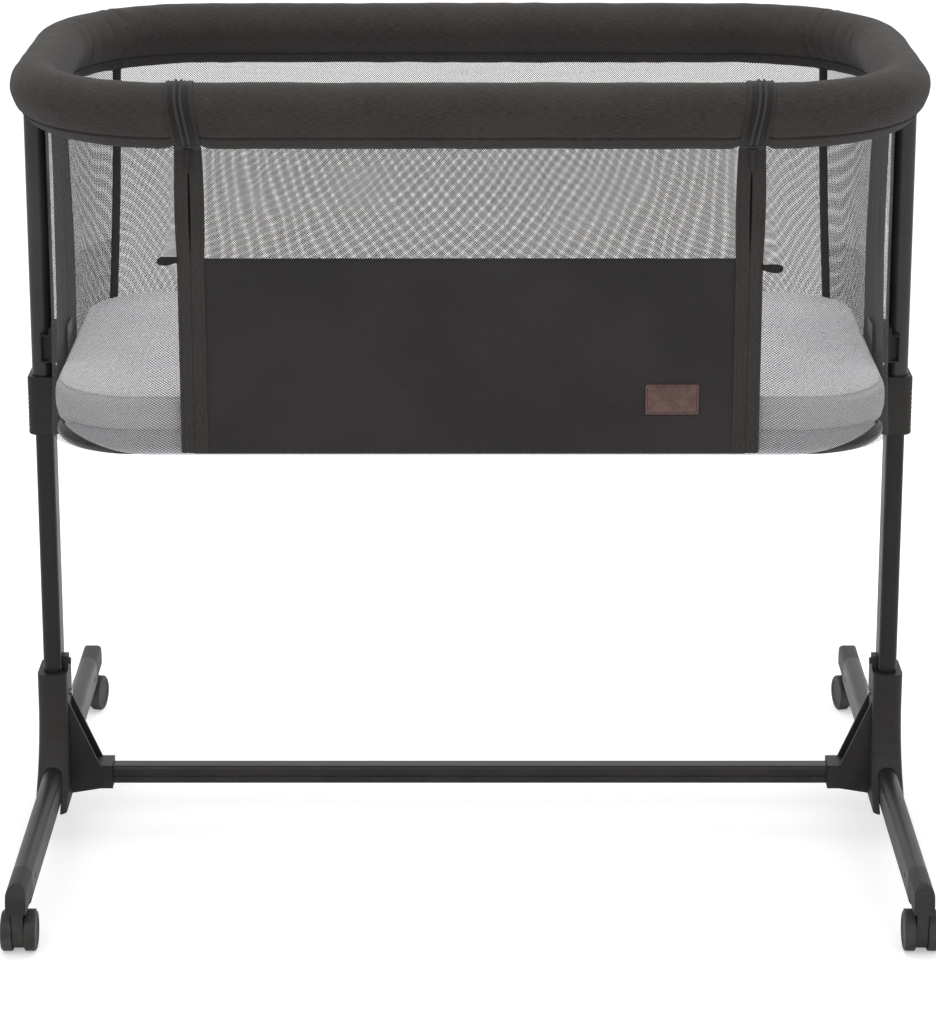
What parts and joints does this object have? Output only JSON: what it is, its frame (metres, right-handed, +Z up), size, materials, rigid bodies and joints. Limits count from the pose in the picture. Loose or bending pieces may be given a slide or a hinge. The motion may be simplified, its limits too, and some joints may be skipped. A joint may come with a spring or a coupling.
{
  "type": "bedside sleeper crib",
  "caption": "Padded mesh crib basket with a mattress, hung between two telescopic legs on castered feet; its front side unzips and folds down.",
  "frame": {"origin": "on the floor under the middle of the crib", "axes": "+X along the crib's length, -Y towards the drop side and the adult bed, +Z up"},
  "size_m": [0.927, 0.7, 0.844],
  "materials": {
    "black_tube": "satin black powder coat",
    "black_moulding": "finely textured moulding",
    "wheel_plastic": "hard plastic, slightly polished tread",
    "bright_steel": "zinc-plated screws",
    "rim_fabric": "charcoal melange weave over foam",
    "mesh_fabric": "dark open mesh",
    "panel_fabric": "dark spacer fabric with a fine diamond texture",
    "mattress_fabric": "pale quilted cover",
    "zip_tape": "woven tape with a nylon coil",
    "zip_metal": "black painted zinc",
    "patch_leather": "brown, smooth, stitched round its edge",
    "base_board": "bare fibreboard"
  },
  "bodies": {
    "stand": {"foot_tube_left": "black_tube", "foot_tube_right": "black_tube", "foot_cap_front_left": "black_moulding", "foot_cap_front_right": "black_moulding", "foot_cap_rear_left": "black_moulding", "foot_cap_rear_right": "black_moulding", "leg_hub_left": "black_moulding", "leg_hub_right": "black_moulding", "cross_bar": "black_tube", "hub_screws": "bright_steel", "lower_leg_left": "black_tube", "lower_leg_right": "black_tube"},
    "basket": {"upper_post_left": "black_tube", "upper_post_right": "black_tube", "height_collar_left": "black_moulding", "height_collar_right": "black_moulding", "basket_bracket_left": "black_moulding", "basket_bracket_right": "black_moulding", "base_hanger_left": "black_tube", "base_hanger_right": "black_tube", "base_frame_tube": "black_tube", "base_board": "base_board", "mattress": "mattress_fabric", "rim_tube": "black_tube", "rim_sleeve": "rim_fabric", "rim_saddle_left": "black_moulding", "rim_saddle_right": "black_moulding", "rear_wall": "mesh_fabric", "end_wall_left": "mesh_fabric", "end_wall_right": "mesh_fabric", "zip_tape_outer_left": "zip_tape", "zip_tape_outer_right": "zip_tape"},
    "front_side": {"front_rail_tube": "black_tube", "front_rail_sleeve": "rim_fabric", "front_mesh_panel": "mesh_fabric", "front_lower_panel": "panel_fabric", "zip_tape_inner_left": "zip_tape", "zip_tape_inner_right": "zip_tape", "leather_patch": "patch_leather"},
    "height_lever_left": {"height_lever_left": "black_moulding"},
    "leg_lock_button_left": {"leg_lock_button_left": "black_moulding"},
    "basket_lock_button_left": {"basket_lock_button_left": "black_moulding"},
    "zip_slider_left": {"zip_slider_left": "zip_metal"},
    "zip_pull_left": {"zip_pull_left": "zip_metal"},
    "caster_front_left": {"caster_housing_front_left": "black_moulding"},
    "wheels_front_left": {"caster_wheels_front_left": "wheel_plastic"},
    "caster_rear_left": {"caster_housing_rear_left": "black_moulding"},
    "wheels_rear_left": {"caster_wheels_rear_left": "wheel_plastic"},
    "brake_pedal_left": {"brake_pedal_left": "black_moulding"},
    "height_lever_right": {"height_lever_right": "black_moulding"},
    "leg_lock_button_right": {"leg_lock_button_right": "black_moulding"},
    "basket_lock_button_right": {"basket_lock_button_right": "black_moulding"},
    "zip_slider_right": {"zip_slider_right": "zip_metal"},
    "zip_pull_right": {"zip_pull_right": "zip_metal"},
    "caster_front_right": {"caster_housing_front_right": "black_moulding"},
    "wheels_front_right": {"caster_wheels_front_right": "wheel_plastic"},
    "caster_rear_right": {"caster_housing_rear_right": "black_moulding"},
    "wheels_rear_right": {"caster_wheels_rear_right": "wheel_plastic"},
    "brake_pedal_right": {"brake_pedal_right": "black_moulding"}
  },
  "joints": [
    {"name": "basket_height", "type": "slide", "parent": "stand", "child": "basket", "axis": [0, 0, 1], "range_m": [-0.18, 0]},
    {"name": "front_side_fold", "type": "hinge", "parent": "basket", "child": "front_side", "pos_m": [0, -0.218, 0.474], "axis": [1, 0, 0], "range_deg": [0, 170]},
    {"name": "height_lever_left_press", "type": "hinge", "parent": "basket", "child": "height_lever_left", "pos_m": [-0.4262, 0, 0.4625], "axis": [0, -1, 0], "range_deg": [0, 5], "stiffness_Nm_per_rad": 0.5, "springref_deg": -11.46},
    {"name": "leg_lock_button_left_push", "type": "slide", "parent": "stand", "child": "leg_lock_button_left", "axis": [-1, 0, 0], "range_m": [0, 0.003], "stiffness_N_per_m": 800, "springref_m": -0.002},
    {"name": "basket_lock_button_left_push", "type": "slide", "parent": "basket", "child": "basket_lock_button_left", "axis": [0, 0, -1], "range_m": [0, 0.005], "stiffness_N_per_m": 600, "springref_m": -0.002},
    {"name": "zip_left_run", "type": "slide", "parent": "front_side", "child": "zip_slider_left", "axis": [0, -0.0251, 0.9997], "range_m": [-0.285, 0]},
    {"name": "zip_pull_left_swing", "type": "hinge", "parent": "zip_slider_left", "child": "zip_pull_left", "pos_m": [-0.2681, -0.2329, 0.77942], "axis": [-1, 0, 0], "range_deg": [0, 120]},
    {"name": "caster_front_left_swivel", "type": "hinge", "parent": "stand", "child": "caster_front_left", "pos_m": [-0.441, -0.336, 0.0462], "axis": [0, 0, 1], "continuous": true},
    {"name": "wheels_front_left_roll", "type": "hinge", "parent": "caster_front_left", "child": "wheels_front_left", "pos_m": [-0.441, -0.326, 0.02], "axis": [1, 0, 0], "continuous": true},
    {"name": "caster_rear_left_swivel", "type": "hinge", "parent": "stand", "child": "caster_rear_left", "pos_m": [-0.441, 0.336, 0.0462], "axis": [0, 0, 1], "continuous": true},
    {"name": "wheels_rear_left_roll", "type": "hinge", "parent": "caster_rear_left", "child": "wheels_rear_left", "pos_m": [-0.44308, 0.32622, 0.02], "axis": [-0.9781, 0.2079, 0], "continuous": true},
    {"name": "brake_pedal_left_press", "type": "hinge", "parent": "caster_front_left", "child": "brake_pedal_left", "pos_m": [-0.441, -0.315, 0.0285], "axis": [-1, 0, 0], "range_deg": [0, 14]},
    {"name": "height_lever_right_press", "type": "hinge", "parent": "basket", "child": "height_lever_right", "pos_m": [0.4262, 0, 0.4625], "axis": [0, 1, 0], "range_deg": [0, 5], "stiffness_Nm_per_rad": 0.5, "springref_deg": -11.46},
    {"name": "leg_lock_button_right_push", "type": "slide", "parent": "stand", "child": "leg_lock_button_right", "axis": [1, 0, 0], "range_m": [0, 0.003], "stiffness_N_per_m": 800, "springref_m": -0.002},
    {"name": "basket_lock_button_right_push", "type": "slide", "parent": "basket", "child": "basket_lock_button_right", "axis": [0, 0, -1], "range_m": [0, 0.005], "stiffness_N_per_m": 600, "springref_m": -0.002},
    {"name": "zip_right_run", "type": "slide", "parent": "front_side", "child": "zip_slider_right", "axis": [0, -0.0251, 0.9997], "range_m": [-0.285, 0]},
    {"name": "zip_pull_right_swing", "type": "hinge", "parent": "zip_slider_right", "child": "zip_pull_right", "pos_m": [0.2681, -0.2329, 0.77942], "axis": [-1, 0, 0], "range_deg": [0, 120]},
    {"name": "caster_front_right_swivel", "type": "hinge", "parent": "stand", "child": "caster_front_right", "pos_m": [0.441, -0.336, 0.0462], "axis": [0, 0, 1], "continuous": true},
    {"name": "wheels_front_right_roll", "type": "hinge", "parent": "caster_front_right", "child": "wheels_front_right", "pos_m": [0.441, -0.326, 0.02], "axis": [1, 0, 0], "continuous": true},
    {"name": "caster_rear_right_swivel", "type": "hinge", "parent": "stand", "child": "caster_rear_right", "pos_m": [0.441, 0.336, 0.0462], "axis": [0, 0, 1], "continuous": true},
    {"name": "wheels_rear_right_roll", "type": "hinge", "parent": "caster_rear_right", "child": "wheels_rear_right", "pos_m": [0.44308, 0.32622, 0.02], "axis": [-0.9781, -0.2079, 0], "continuous": true},
    {"name": "brake_pedal_right_press", "type": "hinge", "parent": "caster_front_right", "child": "brake_pedal_right", "pos_m": [0.441, -0.315, 0.0285], "axis": [-1, 0, 0], "range_deg": [0, 14]}
  ]
}
